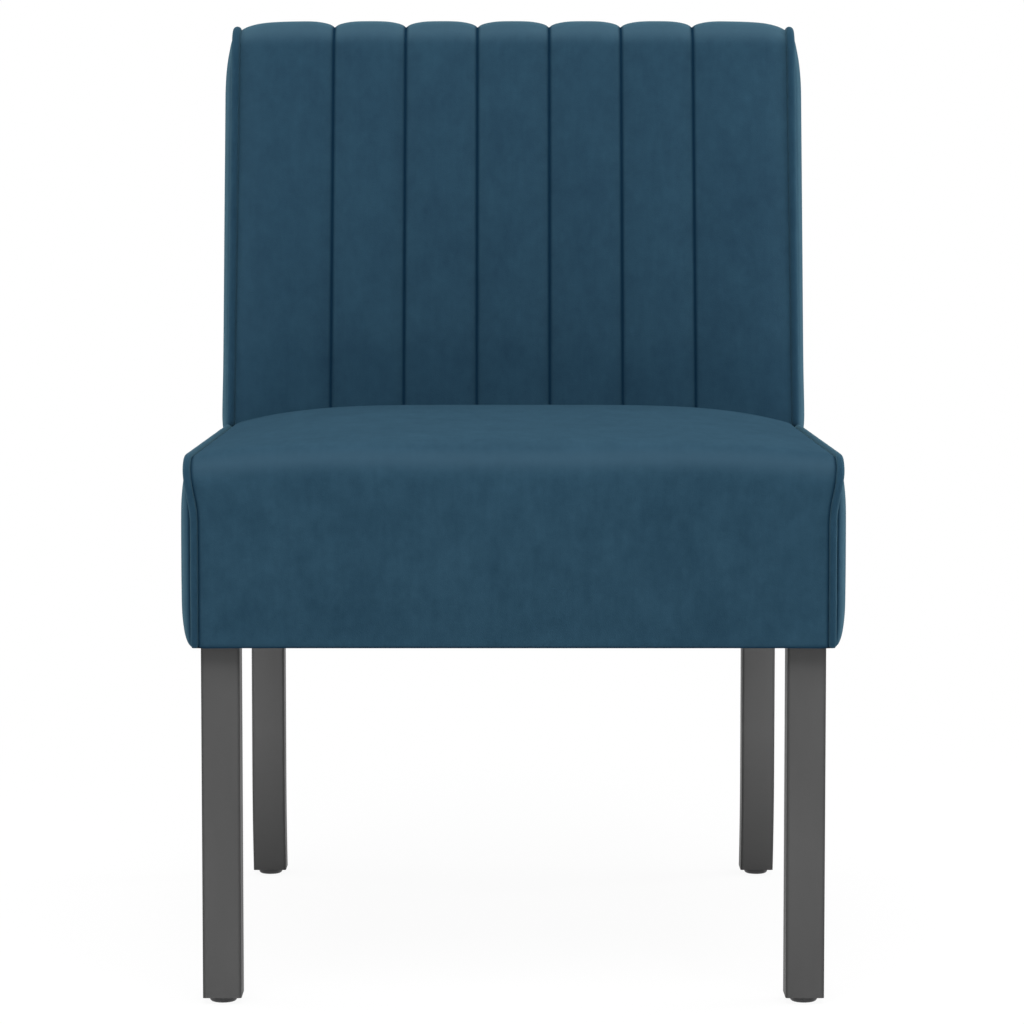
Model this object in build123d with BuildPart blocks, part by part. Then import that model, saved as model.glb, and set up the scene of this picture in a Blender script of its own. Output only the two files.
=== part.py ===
from build123d import *
import os
from math import cos, radians, sin, sqrt, tan

# Armless upholstered slipper chair. Millimetres, +Z up, the sitter faces -Y.
# The origin is on the floor, under the middle of the chair's width and depth.

# Overall sizes
overall_width = 533.0
overall_height = 800.0

# Legs, glides and leg bolts
leg_section = 30.5
leg_edge_round = 2.0
foot_sweep = 14.0
foot_sweep_height = 100.0
glide_diameter = 22.0
glide_height = 5.0
glide_rim_round = 3.0
glide_nail_diameter = 3.0
glide_nail_length = 18.0
leg_bolt_diameter = 8.0
leg_bolt_depth = 36.0
leg_bolt_offset = 7.6
leg_bolt_land = 0.5
hole_clearance = 0.3

# Seat upholstery
seat_underside = 284.0
seat_depth = 463.0
seat_foam_edge = 55.5
seat_crown_front = 8.5
seat_crown_rear = 18.0
seat_nose_radius = 30.0
seat_front_wadding = 8.0
cover_thickness = 1.7
soft_gap = 0.3
piping_diameter = 6.5
side_panel_swell = 16.5
side_panel_edge_round = 10.0
dust_cover_thickness = 1.0

# Seat frame
rail_thickness = 18.0
rail_height = 90.0
corner_block_reach = 56.0
corner_block_end = 16.0
corner_block_height = 40.0
block_screw_diameter = 4.0
block_screw_head_diameter = 8.0
block_screw_head_height = 2.5
block_screw_length = 24.0
block_screw_grip = 12.0
dowel_diameter = 8.0
dowel_end_wood = 4.0
dowel_edge = 20.0
webbing_width = 50.0
webbing_thickness = 1.5
lengthwise_straps = 5
crosswise_straps = 5

# Back upholstery
back_recline = 10.4
back_overhang = 20.5
back_top_thickness = 117.5
back_top_radius = 30.0
channel_rise = 7.0
channel_pitch = 65.4
inner_channels = 5
back_foam_thickness = 62.0
back_foam_cap = 24.0
back_foam_foot = 1.0

# Back frame
post_thickness = 18.0
back_rail_thickness = 18.0
back_rail_height = 60.0
lumbar_rail_lift = 22.0
back_straps = 4
rear_board_thickness = 3.0
back_bolt_diameter = 8.0
back_bolt_head_diameter = 14.0
back_bolt_head_height = 4.5
back_bolt_edge = 22.0
back_bolt_land = 5.0
washer_diameter = 16.0
washer_thickness = 1.6
tee_nut_flange_diameter = 17.0
tee_nut_flange_thickness = 1.5
tee_nut_barrel_diameter = 10.0
tee_nut_barrel_length = 9.0
rail_screw_diameter = 4.5
rail_screw_length = 55.0
rail_screw_head_diameter = 9.0
rail_screw_head_height = 3.0
rail_screw_edge = 15.0

# Heights, from the floor up
leg_bottom = glide_height
frame_bottom = seat_underside + dust_cover_thickness
rail_top = frame_bottom + rail_height
webbing_top = rail_top + 2 * webbing_thickness
block_top = frame_bottom + corner_block_height
cover_stack = cover_thickness + soft_gap
seat_seam_height = webbing_top + seat_foam_edge + cover_stack

# The back leans on a plane that starts at the seat's side seams.
# A point of it is (n, u): n square into the back, u up along the lean.
recline = radians(back_recline)
seam_radius = back_top_radius - channel_rise
axis_height = overall_height - back_top_radius
axis_u = (axis_height - seat_seam_height + seam_radius * sin(recline)) / cos(recline)
foam_rear_n = cover_stack + back_foam_thickness
frame_n = foam_rear_n + soft_gap + webbing_thickness
frame_top_u = axis_u + seam_radius - cover_stack - back_foam_cap

# Depths, from the seat's front to the seam along the top of the rear panel
top_seam_run = back_top_thickness * cos(recline) + (axis_u + seam_radius) * sin(recline)
overall_depth = seat_depth + top_seam_run
front_y = -overall_depth / 2
rear_y = overall_depth / 2
front_rail_front = front_y + cover_stack + seat_front_wadding
front_rail_back = front_rail_front + rail_thickness
rear_foot_line = rear_y - back_overhang
rear_rail_back = rear_foot_line - cover_stack
rear_rail_front = rear_rail_back - rail_thickness
lean_y = front_y + seat_depth
lean_z = seat_seam_height

# Widths, from the middle out
seat_half = overall_width / 2 - side_panel_swell
side_rail_inner = seat_half - rail_thickness
post_inner = side_rail_inner - post_thickness
piping_radius = piping_diameter / 2

# Each leg stands under a bolt that is as near to the rails' corner as its tee nut allows
leg_bolt_edge = tee_nut_flange_diameter / 2 + hole_clearance + leg_bolt_land
leg_bolt_x = side_rail_inner - leg_bolt_edge
front_bolt_y = front_rail_back + leg_bolt_edge
rear_bolt_y = rear_rail_front - leg_bolt_edge
leg_x = leg_bolt_x + leg_bolt_offset
front_leg_y = front_bolt_y - leg_bolt_offset
rear_leg_y = rear_bolt_y + leg_bolt_offset


def lean_point(n, u):
    """(y, z) of a point n into the back and u up along its lean."""
    return (
        lean_y + n * cos(recline) + u * sin(recline),
        lean_z - n * sin(recline) + u * cos(recline),
    )


def lean_u(n, z):
    """How far up the lean the plane at depth n passes height z."""
    return (z - lean_z + n * sin(recline)) / cos(recline)


def lean_at(n, z):
    """(y, z) where the plane at depth n passes height z."""
    return lean_point(n, lean_u(n, z))


# The rear panel is straight from the seat's lower edge to the top rear seam.
rear_seam_z = lean_point(back_top_thickness, axis_u + seam_radius)[1]
rear_slope = back_overhang / (rear_seam_z - seat_underside)


def rear_line(z, inset=0.0):
    """y of the rear panel at height z, moved in square to it by inset."""
    return rear_foot_line + (z - seat_underside) * rear_slope - inset * sqrt(1 + rear_slope**2)


def top_and_rear(drop, inset):
    """(y, z) where the top, lowered by drop, meets the rear line, moved in by inset."""
    y, z = lean_point(seam_radius, axis_u + seam_radius - drop)
    run = (rear_line(z, inset) - y) / (1 + rear_slope * tan(recline))
    return (y + run, z - run * tan(recline))


def save(part, name):
    part.label = name
    export_step(part, f"parts/{name}.step")


def save_pair(right, name):
    """Writes the right-hand piece and its mirror image."""
    save(right, f"{name}_right")
    with BuildPart() as left:
        mirror(right, about=Plane.YZ)
    save(left.part, f"{name}_left")


def slab(x_low, x_high, points):
    """A board cut to a (y, z) outline, from x_low to x_high."""
    with BuildPart() as board:
        with BuildSketch(Plane.YZ.offset(x_low)):
            with BuildLine():
                Polyline(*points, close=True)
            make_face()
        extrude(amount=x_high - x_low)
    return board.part


os.makedirs("parts", exist_ok=True)


# Legs: straight square ones in front, swept back near the floor behind
def leg_holes(foot_y, bolt_y):
    """Pilot holes for the leg bolt above and the glide's nail below, in the leg being built."""
    with Locations((leg_bolt_x, bolt_y, seat_underside - leg_bolt_depth)):
        Cylinder(
            leg_bolt_diameter / 2 + hole_clearance,
            leg_bolt_depth,
            align=(Align.CENTER, Align.CENTER, Align.MIN),
            mode=Mode.SUBTRACT,
        )
    with Locations((leg_x, foot_y, leg_bottom)):
        Cylinder(
            glide_nail_diameter / 2 + hole_clearance,
            glide_nail_length,
            align=(Align.CENTER, Align.CENTER, Align.MIN),
            mode=Mode.SUBTRACT,
        )


with BuildPart() as front_leg:
    with BuildSketch(Plane.XY.offset(leg_bottom)):
        with Locations((leg_x, front_leg_y)):
            RectangleRounded(leg_section, leg_section, leg_edge_round)
    extrude(amount=seat_underside - leg_bottom)
    leg_holes(front_leg_y, front_bolt_y)
save_pair(front_leg.part, "front_leg")

leg_front = rear_leg_y - leg_section / 2
leg_back = rear_leg_y + leg_section / 2
sweep_top = leg_bottom + foot_sweep_height
sweep_radius = (foot_sweep_height**2 + foot_sweep**2) / (2 * foot_sweep)
foot_y = rear_leg_y + foot_sweep

with BuildPart() as rear_leg:
    with BuildSketch(Plane.YZ.offset(leg_x - leg_section / 2)):
        with BuildLine():
            Polyline(
                (leg_front, sweep_top),
                (leg_front, seat_underside),
                (leg_back, seat_underside),
                (leg_back, sweep_top),
            )
            RadiusArc((leg_back, sweep_top), (leg_back + foot_sweep, leg_bottom), -sweep_radius)
            Line((leg_back + foot_sweep, leg_bottom), (leg_front + foot_sweep, leg_bottom))
            RadiusArc((leg_front + foot_sweep, leg_bottom), (leg_front, sweep_top), sweep_radius)
        make_face()
    extrude(amount=leg_section)
    along_leg = rear_leg.edges().filter_by(Axis.Z) + rear_leg.edges().filter_by(GeomType.CIRCLE)
    fillet(along_leg, leg_edge_round)
    leg_holes(foot_y, rear_bolt_y)
save_pair(rear_leg.part, "rear_leg")


# Glides: a plastic button moulded round a nail
def glide(y):
    with BuildPart() as button:
        with BuildSketch(Plane.XZ):
            with BuildLine():
                Polyline(
                    (glide_diameter / 2, glide_rim_round),
                    (glide_diameter / 2, glide_height),
                    (glide_nail_diameter / 2, glide_height),
                    (glide_nail_diameter / 2, glide_height + glide_nail_length),
                    (0, glide_height + glide_nail_length),
                    (0, 0),
                    (glide_diameter / 2 - glide_rim_round, 0),
                )
                RadiusArc(
                    (glide_diameter / 2 - glide_rim_round, 0),
                    (glide_diameter / 2, glide_rim_round),
                    -glide_rim_round,
                )
            make_face()
        revolve(axis=Axis.Z)
    return button.part.moved(Location((leg_x, y, 0)))


save_pair(glide(front_leg_y), "foot_glide_front")
save_pair(glide(foot_y), "foot_glide_rear")

# Hanger bolts and the tee nuts that they screw into, one of each at every leg
bolt_places = [(x, y) for x in (-leg_bolt_x, leg_bolt_x) for y in (front_bolt_y, rear_bolt_y)]

with BuildPart() as leg_bolts:
    with Locations(*[(x, y, seat_underside - leg_bolt_depth) for x, y in bolt_places]):
        Cylinder(
            leg_bolt_diameter / 2,
            leg_bolt_depth + dust_cover_thickness + corner_block_height,
            align=(Align.CENTER, Align.CENTER, Align.MIN),
        )
save(leg_bolts.part, "leg_hanger_bolts")

tee_nut_bore = leg_bolt_diameter / 2 + hole_clearance / 2
tee_nut_seat = tee_nut_flange_diameter / 2 + hole_clearance
tee_nut_hole = tee_nut_barrel_diameter / 2 + hole_clearance
tee_nut_hole_depth = tee_nut_flange_thickness + tee_nut_barrel_length


def tee_nut():
    """Flange face at the origin, facing +Z, with the barrel below."""
    with BuildPart() as nut:
        Cylinder(
            tee_nut_flange_diameter / 2,
            tee_nut_flange_thickness,
            align=(Align.CENTER, Align.CENTER, Align.MAX),
        )
        with Locations((0, 0, -tee_nut_flange_thickness)):
            Cylinder(
                tee_nut_barrel_diameter / 2,
                tee_nut_barrel_length,
                align=(Align.CENTER, Align.CENTER, Align.MAX),
            )
        Hole(tee_nut_bore)
    return nut.part


def tee_nut_pocket():
    """What a tee nut takes out of the wood, set as the nut is."""
    with BuildPart() as pocket:
        Cylinder(tee_nut_seat, tee_nut_flange_thickness, align=(Align.CENTER, Align.CENTER, Align.MAX))
        Cylinder(tee_nut_hole, tee_nut_hole_depth, align=(Align.CENTER, Align.CENTER, Align.MAX))
    return pocket.part


with BuildPart() as leg_tee_nuts:
    with Locations(*[(x, y, block_top) for x, y in bolt_places]):
        add(tee_nut())
save(leg_tee_nuts.part, "leg_tee_nuts")


# Corner blocks, screwed into the rails on both sides of the corner
def corner_block(rail_face, inward, bolt_y):
    """The right-hand block at a cross rail's inner face; inward is +1 in front, -1 behind."""
    far_x = side_rail_inner - corner_block_reach
    far_y = rail_face + inward * corner_block_reach
    with BuildPart() as block:
        with BuildSketch(Plane.XY.offset(frame_bottom)):
            with BuildLine():
                Polyline(
                    (side_rail_inner, rail_face),
                    (far_x, rail_face),
                    (far_x, rail_face + inward * corner_block_end),
                    (side_rail_inner - corner_block_end, far_y),
                    (side_rail_inner, far_y),
                    close=True,
                )
            make_face()
        extrude(amount=corner_block_height)
        with Locations((leg_bolt_x, bolt_y, frame_bottom)):
            Cylinder(
                leg_bolt_diameter / 2 + hole_clearance,
                corner_block_height,
                align=(Align.CENTER, Align.CENTER, Align.MIN),
                mode=Mode.SUBTRACT,
            )
        with Locations((leg_bolt_x, bolt_y, block_top)):
            add(tee_nut_pocket(), mode=Mode.SUBTRACT)
        for place in block_screw_places(rail_face, inward):
            with Locations(place):
                add(screw_clearance(), mode=Mode.SUBTRACT)
    return block.part


def block_screw_places(rail_face, inward):
    """Where the two screws of a right-hand block have their heads' seats; +Z runs into the rail."""
    end = corner_block_reach - corner_block_end / 2
    z = frame_bottom + corner_block_height / 2
    into_cross_rail = Plane(
        origin=(side_rail_inner - end, rail_face + inward * block_screw_grip, z),
        x_dir=(1, 0, 0),
        z_dir=(0, -inward, 0),
    )
    into_side_rail = Plane(
        origin=(side_rail_inner - block_screw_grip, rail_face + inward * end, z),
        x_dir=(0, 1, 0),
        z_dir=(1, 0, 0),
    )
    return [into_cross_rail.location, into_side_rail.location]


def screw_clearance():
    """The screw's hole, with a wide counterbore behind the head's seat."""
    with BuildPart() as hole:
        Cylinder(
            block_screw_diameter / 2 + hole_clearance,
            block_screw_length + hole_clearance,
            align=(Align.CENTER, Align.CENTER, Align.MIN),
        )
        Cylinder(
            block_screw_head_diameter / 2 + hole_clearance,
            corner_block_reach,
            align=(Align.CENTER, Align.CENTER, Align.MAX),
        )
    return hole.part


def block_screw():
    with BuildPart() as screw:
        Cylinder(
            block_screw_diameter / 2,
            block_screw_length,
            align=(Align.CENTER, Align.CENTER, Align.MIN),
        )
        Cylinder(
            block_screw_head_diameter / 2,
            block_screw_head_height,
            align=(Align.CENTER, Align.CENTER, Align.MAX),
        )
    return screw.part


save_pair(corner_block(front_rail_back, 1, front_bolt_y), "corner_block_front")
save_pair(corner_block(rear_rail_front, -1, rear_bolt_y), "corner_block_rear")

screw_places = block_screw_places(front_rail_back, 1) + block_screw_places(rear_rail_front, -1)
with BuildPart() as block_screws:
    with Locations(*screw_places):
        add(block_screw())
    mirror(about=Plane.YZ)
save(block_screws.part, "corner_block_screws")

# Seat rails, butted and dowelled at the corners
dowel_reach = rail_thickness - dowel_end_wood
dowel_x = seat_half - rail_thickness / 2
dowel_heights = [frame_bottom + dowel_edge, rail_top - dowel_edge]
dowel_places = [
    Plane(origin=(x, y, z), z_dir=(0, 1, 0)).location
    for x in (-dowel_x, dowel_x)
    for y in (front_rail_back, rear_rail_front)
    for z in dowel_heights
]


def dowels(radius, length):
    with BuildPart() as pegs:
        with Locations(*dowel_places):
            Cylinder(radius, length)
    return pegs.part


save(dowels(dowel_diameter / 2, 2 * dowel_reach), "rail_dowels")
dowel_holes = dowels(dowel_diameter / 2 + hole_clearance, 2 * (dowel_reach + hole_clearance))


def cross_rail(front, back):
    with BuildPart() as rail:
        with Locations((0, front, frame_bottom)):
            Box(
                2 * seat_half,
                back - front,
                rail_height,
                align=(Align.CENTER, Align.MIN, Align.MIN),
            )
        add(dowel_holes, mode=Mode.SUBTRACT)
        with Locations(*screw_places):
            add(screw_clearance(), mode=Mode.SUBTRACT)
        with Locations(*[mirror_place(place) for place in screw_places]):
            add(screw_clearance(), mode=Mode.SUBTRACT)
    return rail.part


def mirror_place(place):
    """The same screw seat on the left-hand side."""
    plane = Plane(place)
    origin = plane.origin
    along = plane.z_dir
    return Plane(
        origin=(-origin.X, origin.Y, origin.Z),
        x_dir=(0, 0, 1),
        z_dir=(-along.X, along.Y, along.Z),
    ).location


save(cross_rail(front_rail_front, front_rail_back), "seat_front_rail")
save(cross_rail(rear_rail_front, rear_rail_back), "seat_rear_rail")

# Back bolts join each post to its side rail, from inside, into tee nuts under the side padding
post_foot = block_top + hole_clearance
bolt_z = (post_foot + rail_top) / 2
front_bolt = lean_at(frame_n, bolt_z)[0] + back_bolt_edge
rear_bolt = rear_rail_front - dowel_reach - tee_nut_seat - back_bolt_land
back_bolt_places = [
    Plane(origin=(seat_half, y, bolt_z), x_dir=(0, 1, 0), z_dir=(1, 0, 0)).location
    for y in (front_bolt, rear_bolt)
]
back_bolt_reach = rail_thickness + post_thickness

with BuildPart() as side_rail:
    with Locations((side_rail_inner, front_rail_back, frame_bottom)):
        Box(
            rail_thickness,
            rear_rail_front - front_rail_back,
            rail_height,
            align=(Align.MIN, Align.MIN, Align.MIN),
        )
    add(dowel_holes, mode=Mode.SUBTRACT)
    with Locations(*screw_places):
        add(screw_clearance(), mode=Mode.SUBTRACT)
    with Locations(*back_bolt_places):
        add(tee_nut_pocket(), mode=Mode.SUBTRACT)
        Cylinder(
            back_bolt_diameter / 2 + hole_clearance,
            rail_thickness,
            align=(Align.CENTER, Align.CENTER, Align.MAX),
            mode=Mode.SUBTRACT,
        )
save_pair(side_rail.part, "seat_side_rail")

with BuildPart() as back_tee_nuts:
    with Locations(*back_bolt_places):
        add(tee_nut())
    mirror(about=Plane.YZ)
save(back_tee_nuts.part, "back_tee_nuts")

with BuildPart() as back_bolts:
    with Locations(*back_bolt_places):
        Cylinder(
            back_bolt_diameter / 2,
            back_bolt_reach + washer_thickness,
            align=(Align.CENTER, Align.CENTER, Align.MAX),
        )
        with Locations((0, 0, -back_bolt_reach - washer_thickness)):
            Cylinder(
                back_bolt_head_diameter / 2,
                back_bolt_head_height,
                align=(Align.CENTER, Align.CENTER, Align.MAX),
            )
    mirror(about=Plane.YZ)
save(back_bolts.part, "back_bolts")

with BuildPart() as back_bolt_washers:
    with Locations(*back_bolt_places):
        with Locations((0, 0, -back_bolt_reach)):
            Cylinder(
                washer_diameter / 2,
                washer_thickness,
                align=(Align.CENTER, Align.CENTER, Align.MAX),
            )
            Cylinder(
                back_bolt_diameter / 2 + hole_clearance,
                washer_thickness,
                align=(Align.CENTER, Align.CENTER, Align.MAX),
                mode=Mode.SUBTRACT,
            )
    mirror(about=Plane.YZ)
save(back_bolt_washers.part, "back_bolt_washers")

# Elastic webbing across the seat frame, one layer lengthwise under one layer crosswise
lengthwise_pitch = 2 * post_inner / lengthwise_straps
crosswise_run = lean_at(frame_n, rail_top)[0] - front_rail_back
crosswise_pitch = crosswise_run / crosswise_straps

with BuildPart() as webbing_lengthwise:
    with Locations((0, (front_rail_front + rear_rail_back) / 2, rail_top)):
        with GridLocations(lengthwise_pitch, 1, lengthwise_straps, 1):
            Box(
                webbing_width,
                rear_rail_back - front_rail_front,
                webbing_thickness,
                align=(Align.CENTER, Align.CENTER, Align.MIN),
            )
save(webbing_lengthwise.part, "seat_webbing_lengthwise")

with BuildPart() as webbing_crosswise:
    with Locations((0, front_rail_back + crosswise_run / 2, rail_top + webbing_thickness)):
        with GridLocations(1, crosswise_pitch, 1, crosswise_straps):
            Box(
                2 * seat_half,
                webbing_width,
                webbing_thickness,
                align=(Align.CENTER, Align.CENTER, Align.MIN),
            )
save(webbing_crosswise.part, "seat_webbing_crosswise")


# Seat cushion: crowned across, more at the back than in front, flat in the middle, with a rounded nose
def seat_block(inset, bottom, half_width, rear):
    """The seat's body, inset from the outside of its cover, down to a bottom height."""
    edge = seat_seam_height - inset
    shoulder = 0.4 * half_width
    flat = half_width - shoulder
    with BuildPart() as block:
        for y, crown in ((front_y + inset, seat_crown_front), (rear, seat_crown_rear)):
            radius = (shoulder**2 + crown**2) / (2 * crown)
            with BuildSketch(Plane.XZ.offset(-y)):
                with BuildLine():
                    Polyline(
                        (-half_width, edge),
                        (-half_width, bottom),
                        (half_width, bottom),
                        (half_width, edge),
                    )
                    RadiusArc((half_width, edge), (flat, edge + crown), -radius)
                    Line((flat, edge + crown), (-flat, edge + crown))
                    RadiusArc((-flat, edge + crown), (-half_width, edge), -radius)
                make_face()
        loft(ruled=True)
        nose = block.faces().sort_by(Axis.Y)[0].edges().sort_by(Axis.Z)[-3:]
        fillet(nose, seat_nose_radius - inset)
    return block.part


seat_rear_n = -channel_rise - soft_gap
seat_rear_plane = Plane(
    origin=(0, *lean_point(seat_rear_n, 0)),
    x_dir=(1, 0, 0),
    z_dir=(0, -cos(recline), sin(recline)),
)
seat_block_rear = lean_at(seat_rear_n, seat_seam_height + seat_crown_rear)[0]

with BuildPart() as seat_foam:
    add(seat_block(cover_stack, webbing_top, seat_half, seat_block_rear))
    split(bisect_by=seat_rear_plane, keep=Keep.TOP)
save(seat_foam.part, "seat_foam")

with BuildPart() as seat_cover:
    add(seat_block(0, seat_underside, seat_half, seat_block_rear))
    add(
        seat_block(cover_thickness, seat_underside - soft_gap, seat_half + soft_gap, seat_block_rear),
        mode=Mode.SUBTRACT,
    )
    split(bisect_by=seat_rear_plane, keep=Keep.TOP)
save(seat_cover.part, "seat_cover")

with BuildPart() as seat_front_wadding_sheet:
    with Locations((0, front_y + cover_stack, frame_bottom)):
        Box(
            2 * seat_half,
            seat_front_wadding,
            webbing_top - frame_bottom,
            align=(Align.CENTER, Align.MIN, Align.MIN),
        )
save(seat_front_wadding_sheet.part, "seat_front_wadding")

with BuildPart() as dust_cover:
    with Locations((0, front_y + cover_stack, seat_underside)):
        Box(
            2 * seat_half,
            rear_rail_back - front_y - cover_stack,
            dust_cover_thickness,
            align=(Align.CENTER, Align.MIN, Align.MIN),
        )
    with Locations(*[(x, y, seat_underside) for x, y in bolt_places]):
        Cylinder(
            leg_bolt_diameter / 2 + hole_clearance,
            dust_cover_thickness,
            align=(Align.CENTER, Align.CENTER, Align.MIN),
            mode=Mode.SUBTRACT,
        )
save(dust_cover.part, "dust_cover")

# Padded side panels, inside the piping along the front and top seams
panel_seam_inset = piping_diameter + soft_gap


def seat_side_outline(inset):
    """Outline of the seat's side panel, moved in from the outside of its cover."""
    seam = panel_seam_inset + inset
    front = front_y + seam
    top = seat_seam_height - seam
    nose = seat_nose_radius - seam
    bottom = seat_underside + inset
    Polyline((front, top - nose), (front, bottom), (rear_line(bottom, inset), bottom))
    Line((rear_line(bottom, inset), bottom), (rear_line(top, inset), top))
    Line((rear_line(top, inset), top), (front + nose, top))
    RadiusArc((front + nose, top), (front, top - nose), -nose)


def back_side_outline(inset):
    """Outline of the back's side panel, moved in from the outside of its cover."""
    seam = panel_seam_inset + inset
    bottom = seat_seam_height + soft_gap + inset
    foot = lean_at(seam, bottom)
    shoulder = lean_point(seam, axis_u)
    crest = lean_point(seam_radius, axis_u + seam_radius - seam)
    Line(foot, shoulder)
    RadiusArc(shoulder, crest, seam_radius - seam)
    Line(crest, top_and_rear(seam, inset))
    Line(top_and_rear(seam, inset), (rear_line(bottom, inset), bottom))
    Line((rear_line(bottom, inset), bottom), foot)


def side_panel(outline, inset, start):
    """A swelling panel with rounded edges, from the plane x = start outwards."""
    outer = seat_half + side_panel_swell - inset
    with BuildPart() as panel:
        with BuildSketch(Plane.YZ.offset(start)):
            with BuildLine():
                outline(inset)
            make_face()
        extrude(amount=outer - start)
        fillet(panel.faces().sort_by(Axis.X)[-1].edges(), side_panel_edge_round - inset)
    return panel.part


for outline, name in ((seat_side_outline, "seat_side"), (back_side_outline, "back_side")):
    save_pair(side_panel(outline, cover_stack, seat_half), f"{name}_padding")
    with BuildPart() as side_cover:
        add(side_panel(outline, 0, seat_half))
        add(side_panel(outline, cover_thickness, seat_half - soft_gap), mode=Mode.SUBTRACT)
    save_pair(side_cover.part, f"{name}_cover")

# Piping along the seams between the side panels and the seat and back covers
piping_x = Plane.YZ.offset(seat_half + piping_radius)

with BuildPart() as seat_piping:
    with BuildLine(piping_x) as seat_seam:
        nose_front = (front_y + piping_radius, seat_seam_height - seat_nose_radius)
        nose_top = (front_y + seat_nose_radius, seat_seam_height - piping_radius)
        Line((front_y + piping_radius, seat_underside), nose_front)
        RadiusArc(nose_front, nose_top, seat_nose_radius - piping_radius)
        Line(nose_top, (rear_line(nose_top[1]), nose_top[1]))
    with BuildSketch(seat_seam.line ^ 0):
        Circle(piping_radius)
    sweep(path=seat_seam.line)
save_pair(seat_piping.part, "seat_piping")

piping_foot = lean_u(piping_radius, seat_seam_height + soft_gap) + piping_radius * tan(recline)

with BuildPart() as back_piping:
    with BuildLine(piping_x) as back_seam:
        shoulder = lean_point(piping_radius, axis_u)
        crest = lean_point(seam_radius, axis_u + seam_radius - piping_radius)
        Line(lean_point(piping_radius, piping_foot), shoulder)
        RadiusArc(shoulder, crest, seam_radius - piping_radius)
        Line(crest, top_and_rear(piping_radius, piping_radius * tan(recline)))
    with BuildSketch(back_seam.line ^ 0):
        Circle(piping_radius)
    sweep(path=back_seam.line)
save_pair(back_piping.part, "back_piping")

# Back frame: tapered posts notched over the rear rail, two cross rails and elastic webbing
post_top_u = frame_top_u - soft_gap
board_front = cover_stack + rear_board_thickness
lumbar_u = lean_u(frame_n, webbing_top + lumbar_rail_lift)
top_rail_u = post_top_u - back_rail_height


def back_rail(low_u):
    return slab(
        -post_inner,
        post_inner,
        [
            lean_point(frame_n, low_u),
            lean_point(frame_n, low_u + back_rail_height),
            lean_point(frame_n + back_rail_thickness, low_u + back_rail_height),
            lean_point(frame_n + back_rail_thickness, low_u),
        ],
    )


rail_screw_places = []
for low_u in (lumbar_u, top_rail_u):
    for edge in (rail_screw_edge, back_rail_height - rail_screw_edge):
        y, z = lean_point(frame_n + back_rail_thickness / 2, low_u + edge)
        screw_plane = Plane(origin=(side_rail_inner, y, z), x_dir=(0, 1, 0), z_dir=(1, 0, 0))
        rail_screw_places.append(screw_plane.location)


def rail_screws(play):
    """The screws from both posts into the back rails, larger all round by play."""
    with BuildPart() as screws:
        with Locations(*rail_screw_places):
            Cylinder(
                rail_screw_diameter / 2 + play,
                rail_screw_length + play,
                align=(Align.CENTER, Align.CENTER, Align.MAX),
            )
            Cylinder(
                rail_screw_head_diameter / 2 + play,
                rail_screw_head_height,
                align=(Align.CENTER, Align.CENTER, Align.MAX),
            )
        mirror(about=Plane.YZ)
    return screws.part


save(rail_screws(0), "back_rail_screws")
rail_screw_holes = rail_screws(hole_clearance)

for low_u, name in ((lumbar_u, "back_lumbar_rail"), (top_rail_u, "back_top_rail")):
    with BuildPart() as rail:
        add(back_rail(low_u))
        add(rail_screw_holes, mode=Mode.SUBTRACT)
    save(rail.part, name)

notch_y = rear_rail_front - soft_gap
notch_z = rail_top + soft_gap
post_outline = [
    lean_at(frame_n, post_foot),
    lean_point(frame_n, post_top_u),
    top_and_rear(cover_stack + back_foam_cap + soft_gap, board_front),
    (rear_line(notch_z, board_front), notch_z),
    (notch_y, notch_z),
    (notch_y, post_foot),
]
with BuildPart() as back_post:
    add(slab(post_inner, side_rail_inner, post_outline))
    add(rail_screw_holes, mode=Mode.SUBTRACT)
    with Locations(*back_bolt_places):
        Cylinder(
            back_bolt_diameter / 2 + hole_clearance,
            back_bolt_reach,
            align=(Align.CENTER, Align.CENTER, Align.MAX),
            mode=Mode.SUBTRACT,
        )
save_pair(back_post.part, "back_post")

first_strap_u = lumbar_u + back_rail_height
back_strap_pitch = (post_top_u - first_strap_u) / back_straps
with BuildPart() as back_webbing:
    for strap in range(back_straps):
        low_u = first_strap_u + (strap + 0.5) * back_strap_pitch - webbing_width / 2
        add(
            slab(
                -side_rail_inner,
                side_rail_inner,
                [
                    lean_point(frame_n, low_u),
                    lean_point(frame_n, low_u + webbing_width),
                    lean_point(frame_n - webbing_thickness, low_u + webbing_width),
                    lean_point(frame_n - webbing_thickness, low_u),
                ],
            )
        )
save(back_webbing.part, "back_webbing")

# Rear board and cover, from the seat rail to the top
board_foot = rail_top + soft_gap
cap_drop = cover_stack + back_foam_cap + soft_gap
rear_board = slab(
    -seat_half,
    seat_half,
    [
        (rear_line(board_foot, board_front), board_foot),
        top_and_rear(cap_drop, board_front),
        top_and_rear(cap_drop, cover_stack),
        (rear_line(board_foot, cover_stack), board_foot),
    ],
)
save(rear_board, "back_rear_board")

rear_cover = slab(
    -seat_half,
    seat_half,
    [
        (rear_line(seat_underside, cover_thickness), seat_underside),
        top_and_rear(cover_stack, cover_thickness),
        top_and_rear(cover_stack, 0),
        (rear_line(seat_underside), seat_underside),
    ],
)
save(rear_cover, "back_rear_cover")

# Foam strips that fill the sides between the posts and the side panels
side_filler = slab(
    side_rail_inner + soft_gap,
    seat_half,
    [
        lean_at(foam_rear_n + soft_gap, board_foot),
        lean_point(foam_rear_n + soft_gap, post_top_u),
        top_and_rear(cap_drop, board_front + soft_gap),
        (rear_line(board_foot, board_front + soft_gap), board_foot),
    ],
)
save_pair(side_filler, "back_side_filler")

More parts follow.
